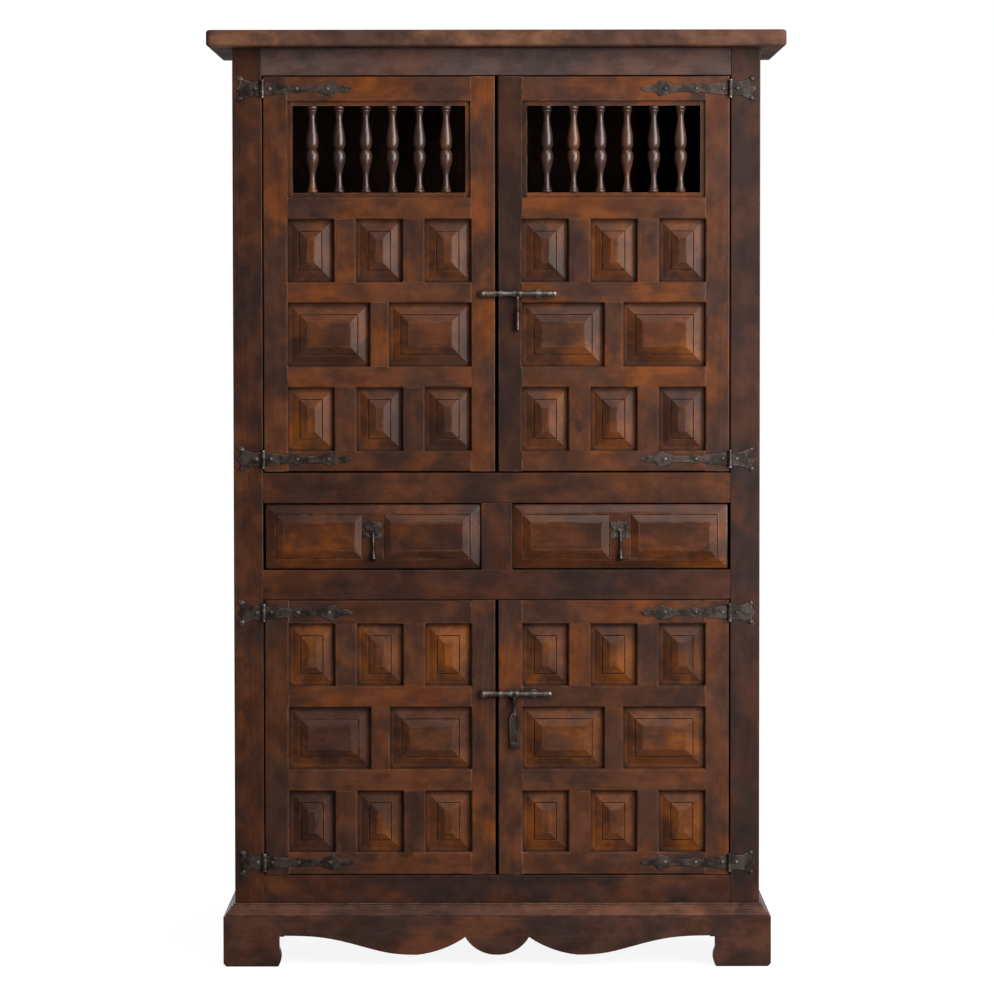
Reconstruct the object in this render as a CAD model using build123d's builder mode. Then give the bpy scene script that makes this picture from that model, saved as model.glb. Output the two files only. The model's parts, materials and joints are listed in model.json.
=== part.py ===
from build123d import *

# Two-part cupboard with upper doors, a pair of drawers and lower doors, in millimetres.
# +X is to the viewer's right, -Y is the front, +Z is up, and the floor is z = 0.

# Overall carcass
carcass_width = 1036.0
carcass_depth = 400.0
top_thickness = 32.0
top_overhang = 50.0
top_side_overhang = 48.0
top_edge_radius = 6.0
side_thickness = 22.0
back_thickness = 12.0
back_inset = 8.0
back_board_count = 7
back_board_gap = 0.6
back_board_lap = 8.0

# Front frame, from the floor upwards
frame_thickness = 26.0
stile_width = 58.0
base_height = 99.0
moulding_height = 24.0
bottom_rail_face = 55.0
lower_opening_height = 545.5
lower_drawer_rail_height = 59.0
drawer_opening_height = 131.5
upper_drawer_rail_height = 60.0
upper_opening_height = 779.8
frieze_height = 54.2
drawer_divider_width = 62.0
frame_edge_radius = 2.0

# Plinth
plinth_projection = 22.0
plinth_lap = 29.0
foot_width = 110.0
foot_corner_radius = 6.0
foot_block_width = 78.0
foot_block_depth = 66.0
apron_lobe_bottom = 23.0
apron_cusp_height = 58.0
apron_shoulder_height = 61.0
apron_cusp_offset = 63.0
apron_lobe_offset = 158.0
apron_shoulder_offset = 330.0
apron_shoulder_fall = 6.0
side_lobe_bottom = 34.0
foot_heel = 2.0
foot_bulge = 4.0
moulding_fillets = (4.0, 8.0)
moulding_fillet_height = 4.5
moulding_nose_height = 3.0
moulding_nose_setback = 3.5

# Inside boards
board_thickness = 18.0
dust_board_thickness = 14.0
shelf_front_setback = 14.0
upper_shelf_heights = (1243.0, 1490.0)
lower_shelf_height = 448.0
batten_width = 20.0
batten_height = 22.0
stop_depth = 12.0
stop_height = 14.0
stop_clearance = 0.4

# Doors
door_thickness = 26.0
door_gap = 5.8
door_hinge_gap = 2.0
door_top_gap = 2.0
door_bottom_gap = 3.0
door_edge_radius = 2.5
door_stile_width = 47.5
narrow_muntin_width = 44.0
wide_muntin_width = 38.0
door_top_rail = 47.0
window_height = 190.5
window_ledge_width = 10.0
window_ledge_recess = 6.0
window_rail = 42.0
joint_gap = 0.15
door_mid_rails = (41.0, 41.5)
lower_door_mid_rails = (42.8, 44.0)
panel_row_heights = (123.0, 125.0, 124.5)
lower_panel_row_heights = (122.0, 122.0, 121.0)
sight_chamfer = 2.6
panel_tongue = 7.0
panel_tongue_thickness = 8.0
panel_groove_clearance = 0.3

# Raised panels, measured in from the edge of the opening and up from the margin
panel_margin_recess = 11.0
panel_margin = 8.0
panel_lower_slope = 14.5
panel_lower_rise = 5.5
panel_quirk_width = 1.8
panel_quirk_depth = 1.6
panel_upper_slope = 13.0
panel_upper_step = 1.0
panel_upper_rise = 6.0
panel_field_fillet = 1.5
panel_field_step = 1.0

# Turned spindles
spindle_count = 6
spindle_pitch = 52.5
spindle_end_radius = 10.5
spindle_belly_radius = 12.3
spindle_waist_radius = 8.0
spindle_neck_radius = 6.2
spindle_tenon_radius = 4.5
spindle_tenon_length = 8.0

# Drawers
drawer_side_gap = 4.0
drawer_gap = 2.5
drawer_front_thickness = 24.0
drawer_band_width = 19.5
drawer_band_rise = 6.5
drawer_quirk_width = 1.6
drawer_quirk_depth = 1.4
drawer_bevel_width = 13.0
drawer_bevel_rise = 5.2
drawer_field_step = 0.8
drawer_strip_width = 41.5
drawer_box_length = 330.0
drawer_box_wall = 12.0
drawer_box_height = 104.0
drawer_bottom_thickness = 6.0
drawer_bottom_lift = 10.0
drawer_run_clearance = 0.3
drawer_guide_clearance = 1.0
runner_height = 8.0
runner_lap = 18.0
guide_height = 20.0

# Hinges
plate_thickness = 2.5
hinge_height_in_door = 24.0
knuckle_radius = 4.5
knuckle_stand_off = 4.8
knuckle_height = 9.9
knuckle_gap = 0.4
hinge_pin_radius = 2.2
hinge_pin_clearance = 0.06
hinge_pin_head_radius = 3.6
hinge_pin_head_height = 2.2
strap_length = 176.0
strap_base_half = 12.2
strap_pinch_half = 5.6
strap_knop_half = 8.6
strap_neck_half = 6.0
strap_barb_half = 15.0
strap_tip_half = 6.2
leaf_length = 50.0
leaf_root_half = 12.2
leaf_end_half = 25.0
nail_head_radius = 4.2
nail_head_height = 2.6
nail_shank_radius = 1.6

# Sliding bolts
bolt_stand_off = 9.6
bolt_radius = 4.7
bolt_tip_gap = 0.8
bolt_hub_radius = 6.6
bolt_hub_half = 7.5
bolt_hub_collar = 2.6
bolt_knob_radius = 5.6
bolt_bore_clearance = 0.2
staple_ring_radius = 7.0
staple_foot_radius = 8.5
staple_foot_thickness = 2.0
staple_web_thickness = 5.0
keeper_radius = 6.2
keeper_length = 36.0
keeper_knob_radius = 8.0
keeper_bore_depth = 20.0
handle_eye_clearance = 0.2
handle_eye_radius = 7.4
upper_bolt_height = 1326.0
upper_bolt_length = 118.0
upper_bolt_hub = 41.0
upper_handle_length = 74.0
upper_handle_knot = 0.36
upper_handle_grip_radius = 4.7
lower_bolt_height = 538.0
lower_bolt_length = 108.0
lower_bolt_hub = 34.5
lower_handle_length = 108.0
hasp_neck_length = 34.0
hasp_width = 19.0
hasp_thickness = 3.2
hasp_lip_height = 12.0
hasp_lip_depth = 4.0
near_staple_offset = 8.6
near_staple_width = 7.0
far_staple_width = 9.0
far_staple_inset = 36.0

# Drawer drops
pull_plate_width = 37.0
pull_plate_height = 33.0
pull_plate_thickness = 2.0
pull_plate_drop = 13.0
pull_pin_radius = 1.8
pull_ear_width = 3.0
pull_eye_radius = 3.6
pull_stand_off = 7.4
pull_drop_length = 61.0
pull_drop_top_radius = 3.0
pull_drop_bottom_radius = 6.0

# Places that follow from the sizes above
plinth_clearance_height = base_height - plinth_lap
half_width = carcass_width / 2
half_opening = half_width - stile_width
front_face = -(carcass_depth + top_overhang) / 2 + top_overhang
back_face = front_face + carcass_depth
frame_back = front_face + frame_thickness
board_back = back_face - back_inset - back_thickness
inner_half_width = half_width - side_thickness
lower_opening_bottom = base_height + moulding_height + bottom_rail_face
lower_opening_top = lower_opening_bottom + lower_opening_height
drawer_opening_bottom = lower_opening_top + lower_drawer_rail_height
drawer_opening_top = drawer_opening_bottom + drawer_opening_height
upper_opening_bottom = drawer_opening_top + upper_drawer_rail_height
upper_opening_top = upper_opening_bottom + upper_opening_height
carcass_top = upper_opening_top + frieze_height
total_height = carcass_top + top_thickness
door_back = front_face + door_thickness
door_width = half_opening - door_hinge_gap - door_gap / 2
hinge_axis_x = half_opening - door_hinge_gap / 2
hinge_axis_y = front_face - knuckle_stand_off
bolt_axis_y = front_face - bolt_stand_off
upper_door_bottom = upper_opening_bottom + door_bottom_gap
upper_door_top = upper_opening_top - door_top_gap
lower_door_bottom = lower_opening_bottom + door_bottom_gap / 2
lower_door_top = lower_opening_top - door_top_gap / 2


def save(piece, name):
    """Label one finished piece and write it to its own file."""
    piece.part.label = name
    export_step(piece.part, f"parts/{name}.step")


def block(x_low, x_high, y_low, y_high, z_low, z_high, mode=Mode.ADD):
    """Rectangular block between two corners, in the part that is being built."""
    centre = ((x_low + x_high) / 2, (y_low + y_high) / 2, (z_low + z_high) / 2)
    with Locations(centre):
        Box(x_high - x_low, y_high - y_low, z_high - z_low, mode=mode)


def front_plane(y):
    """Plane parallel to the front, whose normal points forwards."""
    return Plane.XZ.offset(-y)


# ---------------------------------------------------------------- carcass

with BuildPart() as side_boards:
    for side in (-1, 1):
        x_low, x_high = sorted((side * inner_half_width, side * half_width))
        block(x_low, x_high, frame_back, back_face, plinth_clearance_height, carcass_top)
save(side_boards, "side_boards")

with BuildPart() as front_stiles:
    for side in (-1, 1):
        x_low, x_high = sorted((side * half_opening, side * half_width))
        block(x_low, x_high, front_face, frame_back, plinth_clearance_height, carcass_top)
    outer_edges = front_stiles.edges().filter_by(Axis.Z).group_by(Axis.Y)[0]
    fillet(outer_edges, frame_edge_radius)
save(front_stiles, "front_stiles")

rail_spans = {
    "top_rail": [(upper_opening_top, carcass_top)],
    "drawer_rails": [
        (lower_opening_top, drawer_opening_bottom),
        (drawer_opening_top, upper_opening_bottom),
    ],
    "bottom_rail": [(plinth_clearance_height, lower_opening_bottom)],
}
for rail_name, spans in rail_spans.items():
    with BuildPart() as rail:
        for rail_bottom, rail_top in spans:
            block(-half_opening, half_opening, front_face, frame_back, rail_bottom, rail_top)
        fillet(rail.edges().filter_by(Axis.X).group_by(Axis.Y)[0], frame_edge_radius)
    save(rail, rail_name)

with BuildPart() as drawer_divider:
    block(
        -drawer_divider_width / 2, drawer_divider_width / 2, front_face, frame_back,
        drawer_opening_bottom, drawer_opening_top,
    )
    fillet(drawer_divider.edges().filter_by(Axis.Z).group_by(Axis.Y)[0], frame_edge_radius)
save(drawer_divider, "drawer_divider")

with BuildPart() as top_board:
    block(
        -half_width - top_side_overhang, half_width + top_side_overhang, front_face - top_overhang, back_face,
        carcass_top, total_height,
    )
    fillet(top_board.edges().filter_by(Axis.Z).group_by(Axis.Y)[0], 2 * top_edge_radius)
    fillet(top_board.faces().sort_by(Axis.Z)[-1].edges(), top_edge_radius)
    fillet(top_board.faces().sort_by(Axis.Z)[0].edges(), top_edge_radius)
save(top_board, "top_board")

# Each board's rear tongue laps behind its neighbour's front tongue, so that no light comes through.
back_board_pitch = 2 * inner_half_width / back_board_count
front_tongue_back = board_back + (back_thickness - back_board_gap) / 2
rear_tongue_front = front_tongue_back + back_board_gap
with BuildPart() as back_boards:
    for index in range(back_board_count):
        board_left = -inner_half_width + index * back_board_pitch + back_board_gap / 2
        board_right = board_left + back_board_pitch - back_board_gap
        full_left = board_left
        if index > 0:
            full_left += back_board_lap
            block(
                board_left, full_left, board_back, front_tongue_back,
                plinth_clearance_height, carcass_top,
            )
        block(
            full_left, board_right, board_back, board_back + back_thickness,
            plinth_clearance_height, carcass_top,
        )
        if index < back_board_count - 1:
            block(
                board_right, board_right + back_board_lap, rear_tongue_front, board_back + back_thickness,
                plinth_clearance_height, carcass_top,
            )
save(back_boards, "back_boards")

floor_levels = (
    (lower_opening_bottom, board_thickness),
    (drawer_opening_bottom - runner_height, dust_board_thickness),
    (upper_opening_bottom, board_thickness),
)
with BuildPart() as cupboard_floors:
    for floor_top, thickness in floor_levels:
        block(
            -inner_half_width, inner_half_width, frame_back, board_back,
            floor_top - thickness, floor_top,
        )
save(cupboard_floors, "cupboard_floors")

shelf_tops = (*upper_shelf_heights, lower_shelf_height)
shelf_front = frame_back + shelf_front_setback
with BuildPart() as shelves:
    for shelf_top in shelf_tops:
        block(
            -inner_half_width, inner_half_width, shelf_front, board_back,
            shelf_top - board_thickness, shelf_top,
        )
save(shelves, "shelves")

with BuildPart() as shelf_battens:
    for shelf_top in shelf_tops:
        batten_top = shelf_top - board_thickness
        for side in (-1, 1):
            x_low, x_high = sorted((side * inner_half_width, side * (inner_half_width - batten_width)))
            block(x_low, x_high, shelf_front, board_back, batten_top - batten_height, batten_top)
save(shelf_battens, "shelf_battens")

stop_front = door_back + stop_clearance
stop_back = stop_front + stop_depth
with BuildPart() as door_stops:
    for bottom, top in ((lower_opening_bottom, lower_opening_bottom + stop_height),
                        (upper_opening_bottom, upper_opening_bottom + stop_height)):
        block(-half_opening, half_opening, stop_front, stop_back, bottom, top)
    for bottom, top in ((lower_opening_top - stop_height, lower_opening_top + batten_height),
                        (upper_opening_top - stop_height, upper_opening_top + batten_height)):
        block(-half_opening, half_opening, frame_back, stop_back, bottom, top)
        block(
            -half_opening, half_opening, frame_back, stop_front, bottom,
            top - batten_height + door_top_gap, mode=Mode.SUBTRACT,
        )
save(door_stops, "door_stops")

# Runners carry the drawer sides, and the ribs on them keep the drawers straight.
drawer_outer_x = half_opening - drawer_side_gap
drawer_inner_x = drawer_divider_width / 2
runner_bottom = drawer_opening_bottom - runner_height
guide_top = drawer_opening_bottom + guide_height
with BuildPart() as drawer_runners:
    for side in (-1, 1):
        x_low, x_high = sorted((side * (drawer_outer_x - runner_lap), side * inner_half_width))
        block(x_low, x_high, frame_back, board_back, runner_bottom, drawer_opening_bottom)
        guide_x = drawer_outer_x + drawer_guide_clearance
        x_low, x_high = sorted((side * guide_x, side * inner_half_width))
        block(x_low, x_high, frame_back, board_back, drawer_opening_bottom, guide_top)
    centre_half = drawer_inner_x + runner_lap
    block(-centre_half, centre_half, frame_back, board_back, runner_bottom, drawer_opening_bottom)
    rib_half = drawer_inner_x - drawer_guide_clearance
    block(-rib_half, rib_half, frame_back, board_back, drawer_opening_bottom, guide_top)
    # Strips above the drawers keep them from tipping when they are pulled out.
    for x_low, x_high in ((-inner_half_width, -drawer_outer_x + runner_lap),
                          (-centre_half, centre_half),
                          (drawer_outer_x - runner_lap, inner_half_width)):
        block(
            x_low, x_high, frame_back, board_back,
            drawer_opening_top, upper_opening_bottom - board_thickness,
        )
save(drawer_runners, "drawer_runners")

# ---------------------------------------------------------------- plinth

plinth_half = half_width + plinth_projection
plinth_front = front_face - plinth_projection


def front_apron_outline(side):
    """Edges of one half of the front apron: centre lobe, cusp, side lobe, long rise and foot."""
    foot_inner = plinth_half - foot_width
    foot_top = apron_shoulder_height * 0.6
    centre_rise = apron_cusp_height - apron_lobe_bottom
    Line((0, base_height), (side * plinth_half, base_height))
    Line((side * plinth_half, base_height), (side * plinth_half, foot_corner_radius))
    Line((side * plinth_half, foot_corner_radius), (side * (plinth_half - foot_corner_radius), 0))
    Line((side * (plinth_half - foot_corner_radius), 0), (side * (foot_inner + foot_heel), 0))
    ThreePointArc(
        (side * (foot_inner + foot_heel), 0),
        (side * (foot_inner - foot_bulge), foot_top * 0.45),
        (side * foot_inner, foot_top),
    )
    Line((side * foot_inner, foot_top), (side * foot_inner, apron_shoulder_height))
    Spline(
        (side * foot_inner, apron_shoulder_height),
        (side * apron_shoulder_offset, apron_shoulder_height - apron_shoulder_fall),
        (side * (apron_shoulder_offset + apron_lobe_offset) / 2, apron_lobe_bottom + centre_rise * 0.3),
        (side * apron_lobe_offset, apron_lobe_bottom),
        tangents=((-side, 0), (-side, 0)),
    )
    ThreePointArc(
        (side * apron_lobe_offset, apron_lobe_bottom),
        (side * (apron_lobe_offset * 0.6 + apron_cusp_offset * 0.4), apron_lobe_bottom + centre_rise * 0.22),
        (side * apron_cusp_offset, apron_cusp_height),
    )
    ThreePointArc(
        (side * apron_cusp_offset, apron_cusp_height),
        (side * apron_cusp_offset * 0.58, apron_lobe_bottom + centre_rise * 0.26),
        (0, apron_lobe_bottom),
    )


def side_apron_outline(end, direction):
    """Edges of one half of a side apron, from its middle to its foot at one end."""
    middle = (front_face + back_face) / 2
    foot_inner = end - direction * foot_width
    foot_top = apron_shoulder_height * 0.6
    Line((middle, base_height), (end, base_height))
    Line((end, base_height), (end, 0))
    Line((end, 0), (foot_inner + direction * foot_heel, 0))
    ThreePointArc(
        (foot_inner + direction * foot_heel, 0),
        (foot_inner - direction * foot_bulge, foot_top * 0.45),
        (foot_inner, foot_top),
    )
    Line((foot_inner, foot_top), (foot_inner, apron_shoulder_height))
    Spline(
        (foot_inner, apron_shoulder_height),
        ((foot_inner * 2 + middle) / 3, apron_shoulder_height - apron_shoulder_fall),
        (middle, side_lobe_bottom),
        tangents=((-direction, 0), (-direction, 0)),
    )


with BuildPart() as front_apron:
    with BuildSketch(front_plane(front_face)):
        with BuildLine():
            front_apron_outline(1)
            front_apron_outline(-1)
        make_face()
    extrude(amount=plinth_projection)
save(front_apron, "front_apron")

with BuildPart() as side_aprons:
    for side in (-1, 1):
        with BuildSketch(Plane.YZ.offset(side * (half_width + plinth_projection / 2))):
            with BuildLine():
                side_apron_outline(front_face, -1)
                side_apron_outline(back_face, 1)
            make_face()
        extrude(amount=plinth_projection / 2, both=True)
save(side_aprons, "side_aprons")

with BuildPart() as foot_blocks:
    for side in (-1, 1):
        x_low, x_high = sorted((side * (half_width - foot_block_width), side * half_width))
        block(x_low, x_high, front_face, front_face + foot_block_depth, 0, plinth_clearance_height)
        block(x_low, x_high, back_face - foot_block_depth, back_face, 0, plinth_clearance_height)
save(foot_blocks, "foot_blocks")

# The stepped moulding is planted on the plinth and mitred at the two front corners.
moulding_nose = plinth_projection - moulding_nose_setback
moulding_top = base_height + moulding_height


def moulding_section(origin, outward):
    """Edges of the moulding's section: two fillets, a sloping cove and a square nose."""
    points = (
        (0, base_height),
        (0, moulding_top),
        (moulding_fillets[0], moulding_top),
        (moulding_fillets[0], moulding_top - moulding_fillet_height),
        (moulding_fillets[1], moulding_top - moulding_fillet_height),
        (moulding_fillets[1], moulding_top - 2 * moulding_fillet_height),
        (moulding_nose, base_height + moulding_nose_height),
        (moulding_nose, base_height),
    )
    Polyline(*((origin + outward * reach, height) for reach, height in points), close=True)


with BuildPart() as front_moulding:
    with BuildSketch(Plane.YZ.offset(-half_width - moulding_nose)):
        with BuildLine():
            moulding_section(front_face, -1)
        make_face()
    extrude(amount=2 * (half_width + moulding_nose))
    for side in (-1, 1):
        with BuildSketch(Plane.XY.offset(base_height)):
            with BuildLine():
                Polyline(
                    (side * half_width, front_face),
                    (side * (half_width + moulding_nose), front_face - moulding_nose),
                    (side * (half_width + moulding_nose), front_face),
                    close=True,
                )
            make_face()
        extrude(amount=moulding_height, mode=Mode.SUBTRACT)

with BuildPart() as side_mouldings:
    for side in (-1, 1):
        with BuildSketch(front_plane(back_face)):
            with BuildLine():
                moulding_section(side * half_width, side)
            make_face()
        extrude(amount=carcass_depth + moulding_nose)
        with BuildSketch(Plane.XY.offset(base_height)):
            with BuildLine():
                Polyline(
                    (side * half_width, front_face + joint_gap),
                    (side * (half_width + moulding_nose), front_face - moulding_nose + joint_gap),
                    (side * (half_width + moulding_nose), front_face - moulding_nose),
                    (side * half_width, front_face - moulding_nose),
                    close=True,
                )
            make_face()
        extrude(amount=moulding_height, mode=Mode.SUBTRACT)

with BuildPart() as base_moulding:
    add(front_moulding.part)
    add(side_mouldings.part)
save(base_moulding, "base_moulding")

# ---------------------------------------------------------------- doors

inner_door_width = door_width - 2 * door_stile_width
small_opening = (inner_door_width - 2 * narrow_muntin_width) / 3
wide_opening = (inner_door_width - wide_muntin_width) / 2
margin_face = front_face + panel_margin_recess
ledge_face = front_face + window_ledge_recess
spindle_y = (front_face + door_back) / 2


def door_rows(upper):
    """Rails, muntins, panel openings and window of a door whose free edge is at x = 0."""
    z = upper_door_top if upper else lower_door_top
    rails = [(z - door_top_rail, z)]
    z -= door_top_rail
    window = None
    if upper:
        window = (z - window_height, z)
        rails.append((z - window_height - window_rail, z - window_height))
        z -= window_height + window_rail
    heights = panel_row_heights if upper else lower_panel_row_heights
    mid_rails = door_mid_rails if upper else lower_door_mid_rails
    muntins = []
    openings = []
    for row, height in enumerate(heights):
        small_row = row != 1
        count = 3 if small_row else 2
        width = small_opening if small_row else wide_opening
        muntin = narrow_muntin_width if small_row else wide_muntin_width
        for column in range(count):
            x = door_stile_width + column * (width + muntin)
            openings.append((x, x + width, z - height, z))
            if column < count - 1:
                muntins.append((x + width, x + width + muntin, z - height + joint_gap, z - joint_gap))
        z -= height
        if row < 2:
            rails.append((z - mid_rails[row], z))
            z -= mid_rails[row]
    rails.append((upper_door_bottom if upper else lower_door_bottom, z))
    return rails, muntins, openings, window


def on_door(side, x_low, x_high):
    """Span across a door, from distances measured from its free edge."""
    free_edge = door_gap / 2
    return sorted((side * (free_edge + x_low), side * (free_edge + x_high)))


def sight_cutter(width, height):
    """Chamfer round an opening, with the groove behind it that holds a panel's tongue."""
    with BuildPart() as cutter:
        with BuildSketch(front_plane(front_face)):
            Rectangle(width + 2 * sight_chamfer, height + 2 * sight_chamfer)
        with BuildSketch(front_plane(front_face + sight_chamfer)):
            Rectangle(width, height)
        loft()
        reach = panel_tongue + panel_groove_clearance
        block(
            -width / 2 - reach, width / 2 + reach,
            margin_face, margin_face + panel_tongue_thickness + panel_groove_clearance,
            -height / 2 - reach, height / 2 + reach,
        )
    return cutter.part


def raised_panel(width, height):
    """Solid panel with a flat margin, two mitred slopes parted by a quirk, and a raised field."""
    inset = panel_margin
    level = margin_face
    with BuildPart() as panel:
        reach = panel_tongue
        block(
            -width / 2 - reach, width / 2 + reach, level, level + panel_tongue_thickness,
            -height / 2 - reach, height / 2 + reach,
        )
        with BuildSketch(front_plane(level)):
            Rectangle(width - 2 * inset, height - 2 * inset)
        inset += panel_lower_slope
        level -= panel_lower_rise
        with BuildSketch(front_plane(level)):
            Rectangle(width - 2 * inset, height - 2 * inset)
        loft()
        with BuildSketch(front_plane(level)):
            Rectangle(width - 2 * inset, height - 2 * inset)
        extrude(amount=-panel_quirk_depth, mode=Mode.SUBTRACT)
        inset += panel_quirk_width
        with BuildSketch(front_plane(level + panel_quirk_depth)):
            Rectangle(width - 2 * inset, height - 2 * inset)
        extrude(amount=panel_quirk_depth + panel_upper_step)
        level -= panel_upper_step
        with BuildSketch(front_plane(level)):
            Rectangle(width - 2 * inset, height - 2 * inset)
        inset += panel_upper_slope
        level -= panel_upper_rise
        with BuildSketch(front_plane(level)):
            Rectangle(width - 2 * inset, height - 2 * inset)
        loft()
        inset += panel_field_fillet
        with BuildSketch(front_plane(level)):
            Rectangle(width - 2 * inset, height - 2 * inset)
        extrude(amount=panel_field_step)
    return panel.part


def spindle(length):
    """Turned spindle standing on z = 0, with a tenon at each end."""
    with BuildPart() as turning:
        with BuildSketch(Plane.XZ):
            with BuildLine():
                Polyline(
                    (0, -spindle_tenon_length), (spindle_tenon_radius, -spindle_tenon_length),
                    (spindle_tenon_radius, 0), (spindle_end_radius - 1.5, 0),
                )
                ThreePointArc(
                    (spindle_end_radius - 1.5, 0), (spindle_end_radius, 0.02 * length),
                    (spindle_end_radius - 1.5, 0.04 * length),
                )
                Spline(
                    (spindle_end_radius - 1.5, 0.04 * length),
                    (spindle_neck_radius, 0.22 * length),
                    (spindle_belly_radius, 0.44 * length),
                    (spindle_waist_radius, 0.497 * length),
                    tangents=((-0.3, 1), (-1, 1)),
                )
                Spline(
                    (spindle_waist_radius, 0.497 * length),
                    (spindle_belly_radius, 0.585 * length),
                    (spindle_neck_radius, 0.87 * length),
                    (spindle_end_radius - 2.5, 0.93 * length),
                    tangents=((1, 1), (0.3, 1)),
                )
                ThreePointArc(
                    (spindle_end_radius - 2.5, 0.93 * length), (spindle_end_radius - 1.2, 0.943 * length),
                    (spindle_end_radius - 2.5, 0.956 * length),
                )
                ThreePointArc(
                    (spindle_end_radius - 2.5, 0.956 * length), (spindle_end_radius, 0.978 * length),
                    (spindle_end_radius - 1.5, length),
                )
                Polyline(
                    (spindle_end_radius - 1.5, length), (spindle_tenon_radius, length),
                    (spindle_tenon_radius, length + spindle_tenon_length), (0, length + spindle_tenon_length),
                    (0, -spindle_tenon_length),
                )
            make_face()
        revolve(axis=Axis.Z)
    return turning.part


opening_cutters = {}
panel_solids = {}


def sized(cache, maker, width, height):
    """Piece of one size, made once and used again."""
    key = (round(width, 3), round(height, 3))
    if key not in cache:
        cache[key] = maker(width, height)
    return cache[key]


def cut_openings(side, openings):
    """Cut every opening's chamfer and groove from the part that is being built."""
    for x_low, x_high, z_low, z_high in openings:
        left, right = on_door(side, x_low, x_high)
        with Locations(((left + right) / 2, 0, (z_low + z_high) / 2)):
            cutter = sized(opening_cutters, sight_cutter, right - left, z_high - z_low)
            add(cutter, mode=Mode.SUBTRACT)


def build_door(name, side, upper):
    """Stiles, rails, panels and spindles of one door."""
    rails, muntins, openings, window = door_rows(upper)
    bottom = upper_door_bottom if upper else lower_door_bottom
    top = upper_door_top if upper else lower_door_top
    ledge = window_ledge_width
    far_edge = door_width - door_stile_width

    with BuildPart() as stiles:
        for x_low, x_high, inner, reach in ((0, door_stile_width, door_stile_width, ledge),
                                            (far_edge, door_width, far_edge, -ledge)):
            left, right = on_door(side, x_low, x_high)
            block(left, right, front_face, door_back, bottom, top)
            if window:
                left, right = on_door(side, *sorted((inner, inner + reach)))
                block(left, right, ledge_face, door_back, *window)
        cut_openings(side, openings)
        outer = [edge for edge in stiles.edges().filter_by(Axis.Z).group_by(Axis.Y)[0]
                 if edge.length > (top - bottom) * 0.9]
        fillet(outer, door_edge_radius)
    save(stiles, f"{name}_stiles")

    with BuildPart() as frame_rails:
        for z_low, z_high in rails:
            left, right = on_door(side, door_stile_width, far_edge)
            block(left, right, front_face, door_back, z_low, z_high)
        for x_low, x_high, z_low, z_high in muntins:
            left, right = on_door(side, x_low, x_high)
            block(left, right, front_face, door_back, z_low, z_high)
        if window:
            left, right = on_door(side, door_stile_width + ledge, far_edge - ledge)
            block(left, right, ledge_face, door_back, window[1] - ledge, window[1])
            block(left, right, ledge_face, door_back, window[0], window[0] + ledge)
            for x in spindle_places(side):
                tenon_end = ledge - spindle_tenon_length - 0.2
                with Locations((x, spindle_y, window[0] + window_height / 2)):
                    Cylinder(
                        spindle_tenon_radius + 0.1, window_height - 2 * tenon_end, mode=Mode.SUBTRACT,
                    )
        cut_openings(side, openings)
        ends = [edge for edge in frame_rails.edges().filter_by(Axis.X).group_by(Axis.Y)[0]
                if min(abs(edge.center().Z - bottom), abs(edge.center().Z - top)) < 0.1]
        fillet(ends, door_edge_radius)
    save(frame_rails, f"{name}_rails")

    with BuildPart() as panels:
        for x_low, x_high, z_low, z_high in openings:
            left, right = on_door(side, x_low, x_high)
            with Locations(((left + right) / 2, 0, (z_low + z_high) / 2)):
                add(sized(panel_solids, raised_panel, right - left, z_high - z_low))
    save(panels, f"{name}_panels")

    if window:
        turning = spindle(window_height - 2 * ledge)
        with BuildPart() as spindles:
            with Locations(*((x, spindle_y, window[0] + ledge) for x in spindle_places(side))):
                add(turning)
        save(spindles, f"{name}_spindles")


def spindle_places(side):
    """X of each spindle of a door, evenly spaced about the middle of its window."""
    middle = side * (door_gap + door_width) / 2
    return [middle + (index - (spindle_count - 1) / 2) * spindle_pitch for index in range(spindle_count)]


doors = (
    ("upper_left_door", -1, True),
    ("upper_right_door", 1, True),
    ("lower_left_door", -1, False),
    ("lower_right_door", 1, False),
)
for door_name, side, upper in doors:
    build_door(door_name, side, upper)

# ---------------------------------------------------------------- drawers

drawer_width = drawer_outer_x - drawer_inner_x - drawer_gap
drawer_bottom = drawer_opening_bottom + drawer_gap
drawer_top = drawer_opening_top - drawer_gap
drawer_middle_z = (drawer_bottom + drawer_top) / 2
drawer_front_height = drawer_top - drawer_bottom
drawer_rim_face = front_face + drawer_band_rise
drawer_front_back = drawer_rim_face + drawer_front_thickness
drawer_side_bottom = drawer_opening_bottom + drawer_run_clearance
drawer_side_top = drawer_side_bottom + drawer_box_height
drawer_box_back = drawer_front_back + drawer_box_length
pull_z = drawer_middle_z + pull_plate_drop


def drawer_field_spans():
    """Left and right limits of the two raised fields, measured from the drawer's middle."""
    edge = drawer_width / 2 - drawer_band_width
    return ((-edge, -drawer_strip_width / 2), (drawer_strip_width / 2, edge))


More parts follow.
